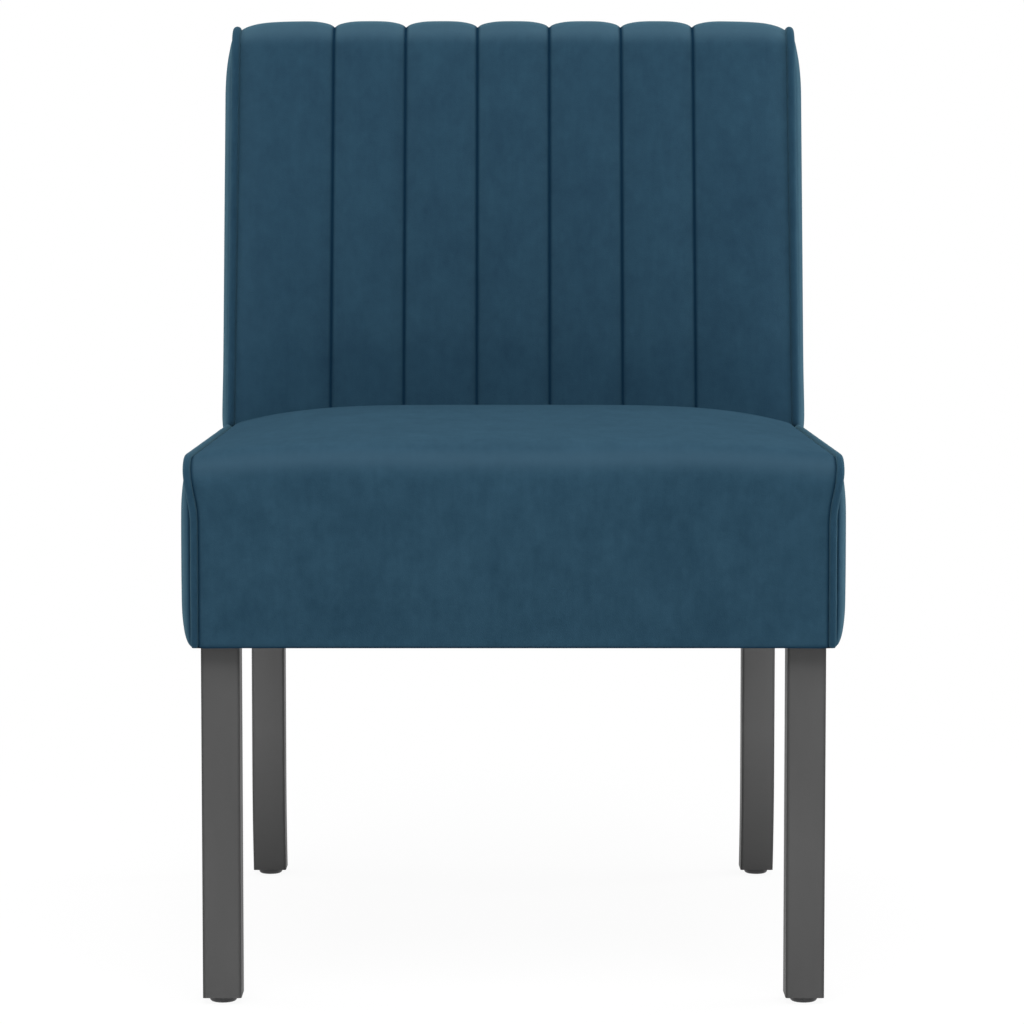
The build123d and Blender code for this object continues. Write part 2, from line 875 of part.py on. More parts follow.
# Back cushion: seven upright channels that run up the front and over the top
inner_span = inner_channels * channel_pitch
channel_seams = [-inner_span / 2 + i * channel_pitch for i in range(inner_channels + 1)]
back_foot = webbing_top + back_foam_foot
back_far = (rear_y - lean_y) / cos(recline) + channel_rise + back_overhang


def channels(half_width, seam_line, swell):
    """Draws the scalloped edge: seams on one line, each channel an arc swelling from it."""
    seams = [-half_width] + channel_seams + [half_width]
    for low, high in zip(seams, seams[1:]):
        ThreePointArc((low, seam_line), ((low + high) / 2, seam_line + swell), (high, seam_line))


def back_block(inset, half_width, foot):
    """The back's channelled body, inset from the outside of its cover, far past the rear."""
    low_u = lean_u(-channel_rise, foot)
    up = (0, sin(recline), cos(recline))
    back = (0, cos(recline), -sin(recline))
    with BuildPart() as block:
        with BuildSketch(Plane(origin=(0, *lean_point(0, low_u)), x_dir=(1, 0, 0), z_dir=up)):
            with BuildLine():
                channels(half_width, inset, -channel_rise)
                Polyline(
                    (half_width, inset),
                    (half_width, back_far),
                    (-half_width, back_far),
                    (-half_width, inset),
                )
            make_face()
        extrude(amount=axis_u - low_u)
        with BuildSketch(Plane(origin=(0, *lean_point(0, axis_u)), x_dir=(1, 0, 0), z_dir=up)):
            with BuildLine():
                channels(half_width, inset, -channel_rise)
                Polyline(
                    (half_width, inset),
                    (half_width, seam_radius),
                    (-half_width, seam_radius),
                    (-half_width, inset),
                )
            make_face()
        top_axis = Axis((0, *lean_point(seam_radius, axis_u)), (-1, 0, 0))
        revolve(axis=top_axis, revolution_arc=90)
        top_plane = Plane(
            origin=(0, *lean_point(seam_radius, axis_u)),
            x_dir=(-1, 0, 0),
            z_dir=back,
        )
        with BuildSketch(top_plane):
            with BuildLine():
                channels(half_width, seam_radius - inset, channel_rise)
                Polyline(
                    (half_width, seam_radius - inset),
                    (half_width, 0),
                    (-half_width, 0),
                    (-half_width, seam_radius - inset),
                )
            make_face()
        extrude(amount=back_far - seam_radius)
        split(bisect_by=Plane.XY.offset(foot), keep=Keep.TOP)
    return block.part


def rear_plane(inset):
    """The rear panel's plane moved in by inset, facing forwards."""
    return Plane(
        origin=(0, rear_line(seat_underside, inset), seat_underside),
        x_dir=(1, 0, 0),
        z_dir=(0, -1, rear_slope),
    )


frame_space = slab(
    -seat_half - soft_gap,
    seat_half + soft_gap,
    [
        lean_at(foam_rear_n, back_foot - soft_gap),
        lean_point(foam_rear_n, frame_top_u),
        lean_point(back_far, frame_top_u),
        (rear_y + back_overhang, back_foot - soft_gap),
    ],
)
with BuildPart() as back_foam:
    add(back_block(cover_stack, seat_half, back_foot))
    add(frame_space, mode=Mode.SUBTRACT)
    split(bisect_by=rear_plane(cover_stack), keep=Keep.TOP)
save(back_foam.part, "back_foam")

with BuildPart() as back_cover:
    add(back_block(0, seat_half, back_foot))
    add(back_block(cover_thickness, seat_half + soft_gap, back_foot - soft_gap), mode=Mode.SUBTRACT)
    split(bisect_by=rear_plane(0), keep=Keep.TOP)
save(back_cover.part, "back_cover")
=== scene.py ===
# %% [markdown]
# # A slipper chair in teal velvet
# The chair stands in one shared frame, in metres: the front faces -Y, up is +Z and the floor is z = 0.
# Hard pieces keep the solids they were drawn as and get a finish here.
# Soft pieces are made again as sewn and stuffed cloth, each in the place that its solid holds.

# %% Load the chair's solids
import math
import bmesh
import bpy
import numpy as np
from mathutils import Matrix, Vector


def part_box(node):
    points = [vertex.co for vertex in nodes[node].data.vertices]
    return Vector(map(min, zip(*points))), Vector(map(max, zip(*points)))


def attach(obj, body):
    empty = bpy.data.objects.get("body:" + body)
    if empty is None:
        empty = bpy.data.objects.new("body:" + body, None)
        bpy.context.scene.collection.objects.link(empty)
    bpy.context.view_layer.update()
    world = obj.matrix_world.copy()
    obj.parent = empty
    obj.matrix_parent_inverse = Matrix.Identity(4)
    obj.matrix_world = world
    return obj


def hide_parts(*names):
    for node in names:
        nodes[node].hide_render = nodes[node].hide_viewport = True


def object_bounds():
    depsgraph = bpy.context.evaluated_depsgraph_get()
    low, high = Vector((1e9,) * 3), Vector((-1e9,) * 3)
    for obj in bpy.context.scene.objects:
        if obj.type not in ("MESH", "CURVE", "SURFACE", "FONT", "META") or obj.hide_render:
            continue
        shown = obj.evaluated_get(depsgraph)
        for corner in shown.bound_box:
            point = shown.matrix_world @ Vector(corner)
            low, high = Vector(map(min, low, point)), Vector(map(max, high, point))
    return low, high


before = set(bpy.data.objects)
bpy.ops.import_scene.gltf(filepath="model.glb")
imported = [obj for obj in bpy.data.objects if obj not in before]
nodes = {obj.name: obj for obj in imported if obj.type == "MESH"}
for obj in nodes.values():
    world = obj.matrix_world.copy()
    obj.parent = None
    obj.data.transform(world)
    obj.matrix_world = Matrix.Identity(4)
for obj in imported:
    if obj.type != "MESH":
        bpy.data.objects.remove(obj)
cad_low, cad_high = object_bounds()
scene = bpy.context.scene
mm = 0.001
print("solids:", len(nodes), "box:", [round(v, 4) for v in (*cad_low, *cad_high)])

# %% [markdown]
# ## The view
# The photograph looks straight at the front from a little above the back's middle, through a long lens.
# The legs' edges and the seams give the distance, so the lens and the tilt follow from them.
# A tilted camera is used in place of a shifted lens, because a shift would follow it into other views.

# %% Camera
tilt_down = math.radians(4.449)
camera_data = bpy.data.cameras.new("camera")
camera_data.lens = 132.05
camera_data.sensor_width = 36
camera_data.clip_end = 60
camera = bpy.data.objects.new("camera", camera_data)
camera.location = (-0.0012, -3.2378, 0.6184)
camera.rotation_euler = (math.pi / 2 - tilt_down, 0, 0)
scene.collection.objects.link(camera)
scene.camera = camera
print("camera at", [round(v, 3) for v in camera.location])

# %% [markdown]
# ## Writing finishes as sums
# A finish is a graph of nodes, and most of a graph is arithmetic.
# Placing Math nodes by hand hides that arithmetic, so one small class wraps a socket and lets Python's own
# operators add the nodes. Every other node comes from a single method.


# %% A socket that can be added and multiplied
class Wire:
    """An output socket; sums and products of wires add Math nodes to their tree."""

    def __init__(self, tree, socket=None):
        self.tree = tree
        self.socket = socket

    def node(self, kind, settings=None, sockets=None, out=0):
        """Adds any node: its settings first, then values or wires for its sockets."""
        made = self.tree.nodes.new(kind)
        for name, value in (settings or {}).items():
            setattr(made, name, value)
        for name, value in (sockets or {}).items():
            if isinstance(value, Wire):
                self.tree.links.new(value.socket, made.inputs[name])
            else:
                made.inputs[name].default_value = value
        return Wire(self.tree, made.outputs[out] if made.outputs else None)

    def math(self, operation, first, second=0.0):
        return self.node("ShaderNodeMath", {"operation": operation}, {0: first, 1: second})

    def __add__(self, other):
        return self.math("ADD", self, other)

    def __mul__(self, other):
        return self.math("MULTIPLY", self, other)

    def __sub__(self, other):
        return self.math("SUBTRACT", self, other)

    def __rsub__(self, other):
        return self.math("SUBTRACT", other, self)

    __radd__ = __add__
    __rmul__ = __mul__

    def __abs__(self):
        return self.math("ABSOLUTE", self)

    def clamp(self):
        return self.math("MINIMUM", self.math("MAXIMUM", self, 0.0), 1.0)


# %% What every finish needs
def new_finish(name):
    """A material with an empty graph, and the wire that starts it."""
    material = bpy.data.materials.new(name)
    material.use_nodes = True
    material.node_tree.nodes.clear()
    return material, Wire(material.node_tree)


def linear(red, green, blue):
    """A colour read off a picture, 0 to 255, as the light that it stands for."""
    return [((v / 255 + 0.055) / 1.055) ** 2.4 if v > 10 else v / 255 / 12.92 for v in (red, green, blue)]


def grey(level):
    return linear(level, level, level)


def blend(wire, factor, first, second):
    """Mixes two colours; the Mix node's colour sockets are 6, 7 and 2."""
    ends = [v if isinstance(v, Wire) else (*v, 1) for v in (first, second)]
    return wire.node("ShaderNodeMix", {"data_type": "RGBA"}, {0: factor, 6: ends[0], 7: ends[1]}, out=2)


def place_of(wire):
    """The point of the object that is being shaded, in metres."""
    return wire.node("ShaderNodeTexCoord", out="Object")


def noise(wire, place, scale, detail, rough, stretch=(1, 1, 1)):
    """Soft random values about 0.5; scale is patches in a metre, fewer along an axis with a low stretch."""
    stretched = wire.node("ShaderNodeVectorMath", {"operation": "MULTIPLY"}, {0: place, 1: stretch})
    sockets = {"Vector": stretched, "Scale": scale, "Detail": detail, "Roughness": rough}
    return wire.node("ShaderNodeTexNoise", {}, sockets)


def bump(wire, height, strength, distance):
    return wire.node("ShaderNodeBump", {}, {"Height": height, "Strength": strength, "Distance": distance})


def surface(wire, **sockets):
    """One Principled surface."""
    names = {key.replace("_", " ").title().replace("Ior", "IOR"): value for key, value in sockets.items()}
    return wire.node("ShaderNodeBsdfPrincipled", {}, names)


def finish(wire, **sockets):
    """Ends a graph in one Principled surface."""
    wire.node("ShaderNodeOutputMaterial", {}, {"Surface": surface(wire, **sockets)})


# %% [markdown]
# ## Velvet
# Velvet is a short dense pile. It looks dark where it stands and is seen end on, and paler where it is
# pressed flat, as on a seat. One surface with strong sheen could give that, but sheen goes by the angle
# alone. So two surfaces, standing and pressed pile, are mixed by a mark that each sewn piece carries. Other
# marks paint light and shade into the colour. The seam mark darkens the seams, partly as their own crushed
# pile and partly as painted shade in the grooves, and it darkens shaded places as painted shade. The open
# mark paints a paler colour as a painted highlight on bends, on tops that face up and on the side panels.
# The mottling is noise in the cloth's own lay, a vector that runs with the cloth, so that streaks follow it
# round bends.

# %% Velvet finish
upright_dark, upright_light = linear(23, 48, 67), linear(35, 64, 82)
pressed_dark, pressed_light = linear(32, 57, 73), linear(44, 72, 89)
# The seam colour darkens seams and serves as painted shade; the pale colour after it is a painted
# highlight, where the lamps would light the cloth.
seam_shade = linear(14, 40, 59)
painted_light_colour = linear(51, 76, 92)
sheen_shade = linear(150, 200, 212)


def velvet():
    material, wire = new_finish("velvet")
    lay = wire.node("ShaderNodeAttribute", {"attribute_name": "lay"}, out="Vector")
    # The seam mark paints shade as well as seams; the open mark paints light, as a highlight.
    seam = wire.node("ShaderNodeAttribute", {"attribute_name": "seam"}, out="Fac")
    pressed = wire.node("ShaderNodeAttribute", {"attribute_name": "pressed"}, out="Fac")
    painted_light_share = 0.75 * wire.node("ShaderNodeAttribute", {"attribute_name": "open"}, out="Fac")
    clouds = noise(wire, lay, 11, 3, 0.55)
    patches = noise(wire, lay, 46, 4, 0.6, (1, 0.62, 1))
    flecks = noise(wire, lay, 120, 4, 0.62, (1, 0.75, 1))
    streaks = noise(wire, lay, 210, 2, 0.5, (1, 0.12, 1))
    fibres = noise(wire, lay, 1500, 2, 0.6, (1, 0.5, 1))
    mottle = 0.9 * (clouds - 0.5) + 1.0 * (patches - 0.5) + 0.8 * (flecks - 0.5)
    tone = (0.5 + mottle + 0.3 * (streaks - 0.5) + 0.6 * (fibres - 0.5)).clamp()
    rough = 0.86 + 0.1 * (patches - 0.5)
    fuzz = bump(wire, fibres + 0.5 * streaks + 0.8 * patches, 0.22, 0.8 * mm)
    upright = surface(
        wire,
        base_color=blend(wire, painted_light_share, blend(wire, tone, upright_dark, upright_light), painted_light_colour),
        roughness=rough,
        normal=fuzz,
        specular_ior_level=0.03,
        sheen_weight=0.3,
        sheen_roughness=0.6,
        sheen_tint=(*sheen_shade, 1),
    )
    lying = blend(wire, painted_light_share, blend(wire, tone, pressed_dark, pressed_light), painted_light_colour)
    flat = surface(
        wire,
        base_color=blend(wire, seam, lying, seam_shade),
        roughness=rough,
        normal=fuzz,
        specular_ior_level=0.0,
    )
    pile = wire.node("ShaderNodeMixShader", {}, {0: pressed, 1: upright, 2: flat})
    wire.node("ShaderNodeOutputMaterial", {}, {"Surface": pile})
    return material


velvet_finish = velvet()
print("velvet nodes:", len(velvet_finish.node_tree.nodes))

# %% [markdown]
# ## Finishes of the hard pieces
# The legs are wood under satin paint: nearly one grey, with a faint ripple that the light picks out. On top
# of that, painted shade darkens them along the edges, and painted light makes them paler high on the rear
# legs, under the seat. A painted texture could hold that, but the edges are found as well by how far a
# point is from the leg's middle. Inside are plywood rails, hardboard, beech dowels, webbing and zinc-plated
# screws. Nobody sees them in use, but a chair taken apart should look right, so each has grain, speckle or
# weave at its true scale.

# %% Leg paint
leg_low, leg_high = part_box("front_leg_right")
leg_x = (leg_low.x + leg_high.x) / 2
edge_start, edge_width = 12.6 * mm, 2.4 * mm


def leg_paint():
    material, wire = new_finish("satin_leg_paint")
    place = place_of(wire)
    ripple = noise(wire, place, 420, 2, 0.5)
    cloud = noise(wire, place, 22, 3, 0.5, (1, 1, 0.4))
    x, y, z = (wire.node("ShaderNodeSeparateXYZ", {}, {0: place}, out=axis) for axis in range(3))
    off_middle = abs(abs(x) - leg_x)
    # Painted shade: the rounded edges of each leg are darker, as if turned away from the light.
    painted_edge_shade = ((off_middle - edge_start) * (1 / edge_width)).clamp()
    to_rear = (5 * y + 0.5).clamp()
    off_floor = (7 * z).clamp()
    tone = (0.5 + 1.2 * (cloud - 0.5)).clamp()
    colour = blend(wire, tone, grey(75), grey(85))
    # Painted light: the rear legs are paler above the floor, against the seat's shadow.
    colour = blend(wire, 0.85 * (to_rear * off_floor), colour, grey(108))
    finish(
        wire,
        base_color=blend(wire, 0.8 * painted_edge_shade, colour, grey(54)),
        roughness=0.44 + 0.16 * (cloud - 0.5) + 0.08 * (ripple - 0.5),
        normal=bump(wire, ripple, 0.12, 0.4 * mm),
        specular_ior_level=0.05,
    )
    return material


# %% Plastic and steel
def glide_plastic():
    material, wire = new_finish("glide_plastic")
    place = place_of(wire)
    grain = noise(wire, place, 900, 3, 0.6)
    scuff = noise(wire, place, 160, 4, 0.7)
    colour = blend(wire, scuff, linear(44, 44, 45), linear(58, 58, 59))
    rough = 0.52 + 0.2 * (scuff - 0.5)
    finish(wire, base_color=colour, roughness=rough, normal=bump(wire, grain, 0.2, 0.3 * mm))
    return material


def zinc_steel():
    material, wire = new_finish("zinc_steel")
    spangle = noise(wire, place_of(wire), 700, 3, 0.6)
    colour = blend(wire, spangle, linear(176, 180, 184), linear(206, 208, 208))
    finish(wire, base_color=colour, roughness=0.28 + 0.2 * (spangle - 0.5), metallic=1.0)
    return material


# %% Wood, board, foam, webbing and felt
def grained(name, dark, light, stretch, scale=60.0):
    """Wood with its grain drawn out along one axis."""
    material, wire = new_finish(name)
    place = place_of(wire)
    grain = noise(wire, place, scale, 5, 0.65, stretch)
    pores = noise(wire, place, scale * 12, 2, 0.5, stretch)
    colour = blend(wire, (0.15 + 0.75 * grain + 0.2 * pores).clamp(), dark, light)
    relief = bump(wire, grain + 0.6 * pores, 0.15, 0.6 * mm)
    finish(wire, base_color=colour, roughness=0.62 + 0.2 * (pores - 0.5), normal=relief)
    return material


def speckled(name, dark, light, scale, rough):
    """A felted or open-celled stuff, seen as fine cells."""
    material, wire = new_finish(name)
    place = place_of(wire)
    cells = wire.node("ShaderNodeTexVoronoi", {}, {"Vector": place, "Scale": scale})
    cloud = noise(wire, place, scale / 14, 4, 0.6)
    colour = blend(wire, (0.3 + 0.9 * (cloud - 0.5) + 0.6 * cells).clamp(), dark, light)
    finish(wire, base_color=colour, roughness=rough, normal=bump(wire, cells, 0.35, 0.6 * mm))
    return material


def woven(name, dark, light, scale):
    """Flat webbing: ribs both ways."""
    material, wire = new_finish(name)
    sockets = {"Vector": place_of(wire), "Scale": scale, "Distortion": 0.4}
    ribs = [wire.node("ShaderNodeTexWave", {"bands_direction": axis}, sockets) for axis in ("X", "Y")]
    weave = ribs[0] * ribs[1]
    colour = blend(wire, weave, dark, light)
    finish(wire, base_color=colour, roughness=0.8, normal=bump(wire, weave, 0.4, 0.6 * mm))
    return material


# %% Dress the hard pieces
finishes = {
    "leg_paint": leg_paint(),
    "glide_plastic": glide_plastic(),
    "zinc_steel": zinc_steel(),
    "plywood": grained("plywood", linear(164, 126, 82), linear(214, 180, 132), (0.12, 0.12, 2.6)),
    "beech": grained("beech", linear(178, 138, 98), linear(220, 184, 142), (1, 0.08, 1), 220),
    "hardboard": speckled("hardboard", linear(84, 56, 36), linear(134, 98, 66), 1400, 0.7),
    "elastic_webbing": woven("elastic_webbing", grey(22), linear(74, 74, 76), 320),
    "foam": speckled("foam", linear(214, 194, 140), linear(236, 220, 172), 700, 0.95),
}
for node in nodes.values():
    slot = node.data.materials[0].name.split(".")[0]
    if slot in finishes:
        node.data.materials[0] = finishes[slot]
print("hard finishes:", sorted(finishes))

# %% [markdown]
# ## Sewn pieces
# Each soft piece starts as a grid of points that is close beside its seams and even between them, because a
# seam bends sharply and a panel doesn't. A grid keeps seams on mesh edges, which a remeshed block wouldn't.
# Four marks on every point tell the velvet about the cloth there: its lay, how dark a seam or painted
# shadow makes it, how far the pile is pressed flat, and how much painted light makes it paler, as a
# highlight on bends and tops.


# %% Reading and marking points
def read_points(points, kind):
    """A vector for each point of a mesh, as rows of x, y, z."""
    values = np.zeros(len(points) * 3)
    points.foreach_get(kind, values)
    return values.reshape(-1, 3)


def write_points(mesh, points):
    mesh.vertices.foreach_set("co", points.ravel())
    mesh.update()


def mark(mesh, name, kind, values):
    """Keeps a value for each point of a mesh, for the finish to read."""
    layer = mesh.attributes.new(name, kind, "POINT")
    field = "vector" if kind == "FLOAT_VECTOR" else "value"
    layer.data.foreach_set(field, np.ravel(values).astype(np.float32))


def mend(mesh, weld=0.0):
    """Welds points nearer than weld, cuts large faces up and turns every face outward."""
    work = bmesh.new()
    work.from_mesh(mesh)
    if weld:
        bmesh.ops.remove_doubles(work, verts=work.verts, dist=weld)
    bmesh.ops.triangulate(work, faces=[f for f in work.faces if len(f.verts) > 4])
    bmesh.ops.recalc_face_normals(work, faces=work.faces)
    work.to_mesh(mesh)
    work.free()


# %% From a grid of points to a sewn piece
# The painted highlight is strongest where the cloth's normal rises 41 degrees towards the lamps above;
# painted top light grows from a rise of 30 degrees.
bend_rise = 41
bend_above, bend_below = 24, 18
top_rise, top_range = 30, 30


def fade(gap, width, power=2):
    """1 at a line and 0 well beyond width from it."""
    return np.exp(-((gap / width) ** power))


def painted_light_amount(mesh, bend, top):
    """How much painted light makes the pile paler: the bend strength paints a highlight where the cloth
    turns over an edge, and top paints light where it faces up.
    """
    upward = np.clip(read_points(mesh.vertex_normals, "vector")[:, 2], -1, 1)
    rise = np.degrees(np.arcsin(upward))
    off_bend = np.abs(rise) - bend_rise
    on_bend = bend * fade(off_bend, np.where(off_bend > 0, bend_above, bend_below))
    painted_top_light = top * np.clip((rise - top_rise) / top_range, 0, 1)
    return np.maximum(on_bend, painted_top_light)


def sew(name, points, lay, seam, extra, closed=False, pressed=0.0, painted_light_share=0.0, bend=1.0, top=0.0):
    """A piece of velvet through rows and columns of points; extra is faces that close it."""
    index = np.arange(points[..., 0].size).reshape(points.shape[:2])
    low = index if closed else index[:-1]
    high = np.roll(index, -1, axis=0) if closed else index[1:]
    quads = np.stack([low[:, :-1], low[:, 1:], high[:, 1:], high[:, :-1]], axis=-1).reshape(-1, 4).tolist()
    mesh = bpy.data.meshes.new(name)
    mesh.from_pydata(points.reshape(-1, 3).tolist(), [], quads + extra)
    mesh.polygons.foreach_set("use_smooth", [True] * len(quads) + [False] * len(extra))
    mark(mesh, "lay", "FLOAT_VECTOR", lay)
    mark(mesh, "seam", "FLOAT", seam)
    mark(mesh, "pressed", "FLOAT", np.maximum(seam, pressed))
    mend(mesh)
    # The open mark is painted light: a paler colour as a highlight on bends and tops.
    mark(mesh, "open", "FLOAT", np.maximum(painted_light_share, painted_light_amount(mesh, bend, top)))
    mesh.materials.append(velvet_finish)
    piece = bpy.data.objects.new(name, mesh)
    scene.collection.objects.link(piece)
    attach(piece, "root")
    return piece


def smooth(piece):
    """One round of subdivision, so that bends stay round from close by."""
    modifier = piece.modifiers.new("smooth", "SUBSURF")
    modifier.levels = 1
    modifier.render_levels = 1


# %% Lines of a grid, and unevenness
def places(seams, step, close=(0, 0.8, 1.8, 3.2, 5.2, 8.0)):
    """Where the lines of a grid run: close beside each seam, by millimetres, then step apart."""
    near = np.array(close) * mm
    lines = []
    for low, high in zip(seams, seams[1:]):
        count = max(3, round((high - low - 2 * near[-1]) / step) + 1)
        even = np.linspace(low + near[-1], high - near[-1], count)
        lines += [low + near[:-1], even, high - near[:-1][::-1]]
    return np.unique(np.round(np.concatenate(lines), 6))


def waves(x, y, sizes, seed):
    """A smooth random height, about -1 to 1, from waves of the given sizes."""
    draw = np.random.default_rng(seed)
    total = 0
    for size in sizes:
        turn, shift = draw.uniform(0, 2 * math.pi, 2)
        total = total + np.sin(2 * math.pi * (x * math.cos(turn) + y * math.sin(turn)) / size + shift)
    return total / len(sizes)


def gathers(run, distance, seed):
    """Small tucks square to a seam, strongest at it and gone two centimetres away."""
    draw = np.random.default_rng(seed)
    sizes = (11 * mm, 17 * mm, 27 * mm)
    total = 0
    for size in sizes:
        total = total + np.sin(2 * math.pi * run / size + draw.uniform(0, 6.28))
    return total / len(sizes) * np.exp(-distance / (7 * mm))


# %% [markdown]
# ## Stuffing by simulation
# Cloth that is held at its seams and pushed from inside takes the shape that a stuffed panel takes.
# Blender's Cloth does this with pressure and no gravity. The swelling is then scaled to the height that the
# real cushion has, and the result is kept as plain mesh.

# %% Swell a piece between its seams
stuffing_pressure = 3.0
stuffing_frames = 20


def swell(piece, held, height):
    """Pushes a piece out between the points that are held, by at most height."""
    start = read_points(piece.data.vertices, "co")
    group = piece.vertex_groups.new(name="held")
    group.add(np.flatnonzero(held).tolist(), 1.0, "REPLACE")
    cloth = piece.modifiers.new("stuffing", "CLOTH")
    cloth.settings.vertex_group_mass = "held"
    cloth.settings.quality = 6
    cloth.settings.mass = 0.3
    cloth.settings.tension_stiffness = 8
    cloth.settings.compression_stiffness = 8
    cloth.settings.shear_stiffness = 4
    cloth.settings.bending_stiffness = 0.5
    cloth.settings.use_pressure = True
    cloth.settings.uniform_pressure_force = stuffing_pressure
    cloth.settings.effector_weights.gravity = 0
    cloth.point_cache.frame_start = 1
    cloth.point_cache.frame_end = stuffing_frames
    for step in range(1, stuffing_frames + 1):
        scene.frame_set(step)
    shaped = piece.evaluated_get(bpy.context.evaluated_depsgraph_get())
    move = read_points(shaped.data.vertices, "co") - start
    far = np.linalg.norm(move, axis=1).max()
    piece.modifiers.remove(cloth)
    piece.vertex_groups.remove(group)
    write_points(piece.data, start + move * (height / far))
    scene.frame_set(1)
    print(piece.name, "swelled", round(far / mm, 2), "mm, kept at", round(height / mm, 2))


# %% [markdown]
# ## The seat
# One piece of velvet runs from the back over the crowned foam, round the nose and down the front to a
# turned hem. It could be a box with rounded edges, but a sewn seat rises steeply beside its piping, is
# flat in the middle and rises towards the back, so its height is written as a function of place.

# %% Sizes of the seat
clearance = 0.3 * mm
cover_low, cover_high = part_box("seat_cover")
half = cover_high.x
front = cover_low.y
underside = cover_low.z
seam_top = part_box("seat_piping_right")[1].z
rail_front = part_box("seat_front_rail")[0].y - clearance
webbing_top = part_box("seat_webbing_crosswise")[1].z + clearance
nose_radius = 30 * mm
nose_y = front + nose_radius
print("seat half width", round(half, 4), "front", round(front, 4), "seam", round(seam_top, 4))

# %% Where the back leans on the seat
lean = math.radians(10.4)
sitting_depth = 463 * mm
lean_y, lean_z = front + sitting_depth, seam_top
sink_depth = 8 * mm
flare_out = 6.2 * mm


def lean_point(n, u):
    """A point n into the back and u up along its lean, as (y, z)."""
    return (
        lean_y + n * math.cos(lean) + u * math.sin(lean),
        lean_z - n * math.sin(lean) + u * math.cos(lean),
    )


def lean_at(n, z):
    """The y where the plane n into the back passes height z."""
    return lean_point(n, (z - lean_z + n * math.sin(lean)) / math.cos(lean))[0]


def ease(value, start, run):
    """0 up to start and 1 from a run later, smooth between."""
    share = np.clip((value - start) / run, 0, 1)
    return share * share * (3 - 2 * share)


def sink(y):
    """How far the seat's side seam drops where the back stands on it."""
    return sink_depth * ease(y, lean_y - 16 * mm, 26 * mm)


def flare(z):
    """0 low on the seat, 1 at its upper edge, which the foam pushes out."""
    return ease(z, seam_top - 52 * mm, 45 * mm)


print("back leans from y =", round(lean_y, 4), "by", round(math.degrees(lean), 1), "degrees")

# %% Height of the seat's top
seat_x = places([-half, half], 8 * mm)
from_side = half - np.abs(seat_x)
fullness = 1 - np.abs(seat_x / half) ** 4.4
tuck_depth, tuck_reach = 3.6 * mm, 10 * mm
tuck = tuck_depth * np.clip(1 - from_side / tuck_reach, 0, 1) ** 2.4
crown_front, crown_rear = 8.5 * mm, 18 * mm


def seat_top(y):
    """The height of the cloth at y, one value for each column."""
    share = (y - front) / (lean_y - front)
    return seam_top + (crown_front + (crown_rear - crown_front) * share) * fullness - tuck


print("seat top from", round(seat_top(front).max(), 4), "to", round(seat_top(lean_y).max(), 4))

# %% Seat outline: up the rear and along the top
behind_lean = -7.3 * mm
rear_edge_radius = 7 * mm


def seat_rear_and_top():
    """Rows of (y, z), one value for each column."""
    top_rear = seat_top(lean_at(behind_lean, seam_top))
    rows = []
    for share in np.linspace(0, 1, 6):
        z = webbing_top + (top_rear - rear_edge_radius - webbing_top) * share
        rows.append((lean_at(behind_lean, z), z))
    for turn in np.radians([20, 45, 70]):
        y = lean_at(behind_lean, top_rear) - rear_edge_radius * (1 - math.cos(turn))
        rows.append((y, top_rear - rear_edge_radius * (1 - math.sin(turn))))
    rear = lean_at(behind_lean, seam_top) - rear_edge_radius
    for y in np.linspace(rear, nose_y, 60):
        rows.append((np.full_like(seat_x, y), seat_top(y)))
    return rows


# %% Seat outline: round the nose, down to the hem and back underneath
hem = 3.5 * mm
hem_top = underside + 0.6 * mm * np.sqrt(fullness) + hem
front_swell = 1.5 * mm


def seat_nose_and_underside():
    """Rows of (y, z), one value for each column."""
    reach = nose_radius - tuck
    nose_z = seat_top(nose_y) - nose_radius + tuck
    rows = []
    for turn in np.radians(np.linspace(90, 180, 12)[1:]):
        rows.append((nose_y + reach * math.cos(turn), nose_z + reach * math.sin(turn)))
    for share in np.linspace(0, 1, 19)[1:]:
        y = front + tuck - front_swell * fullness * math.sin(math.pi * share)
        rows.append((y, nose_z + (hem_top - nose_z) * share))
    hem_y, hem_low = front + tuck + hem, hem_top - hem
    for turn in np.radians([205, 230, 255, 270]):
        rows.append((hem_y + hem * math.cos(turn), hem_top + hem * math.sin(turn)))
    for share in (0.5, 1.0):
        rows.append((hem_y + (rail_front - hem_y) * share, hem_low))
    for share in (0.3, 0.7, 1.0):
        rows.append((np.full_like(seat_x, rail_front), hem_low + (webbing_top - hem_low) * share))
    for y in np.linspace(rail_front, lean_at(behind_lean, webbing_top), 9)[1:-1]:
        rows.append((np.full_like(seat_x, y), np.full_like(seat_x, webbing_top)))
    return rows


# %% From an outline to a closed piece
def run_of(line):
    """The length along a broken line, at each of its points."""
    steps = np.linalg.norm(np.diff(line, axis=0), axis=1)
    return np.concatenate([[0], np.cumsum(steps)])


def loop_piece(name, x, rows, seam, shown, spread, shade, **pile):
    """A closed piece from outline rows; shown is the first and last row that is cloth."""
    points = [np.stack([x * (1 + spread(z) / half), y + 0 * x, z + 0 * x], axis=-1) for y, z in rows]
    points = np.array(points)
    run = np.repeat(run_of(points[:, len(x) // 2])[:, None], len(x), axis=1)
    lay = np.stack([np.repeat(x[None], len(rows), axis=0), run, 0 * run], axis=-1)
    index = np.arange(run.size).reshape(run.shape)
    ends = [index[:, 0].tolist(), index[::-1, -1].tolist()]
    # dark is the seam mark with painted shade from shade on top of it.
    dark = np.maximum(seam[None], shade(points[..., 2]))
    piece = sew(name, points, lay, dark, ends, closed=True, **pile)
    held = np.ones(run.shape, bool)
    held[shown[0] : shown[1], 2:-2] = False
    return piece, held, run


# %% Seat cushion
seam_width = 2.2 * mm
seat_cloth = (8, 96)


def seat_spread(z):
    """How far the seat's sides stand out at height z."""
    return -2.9 * mm + flare_out * flare(z)


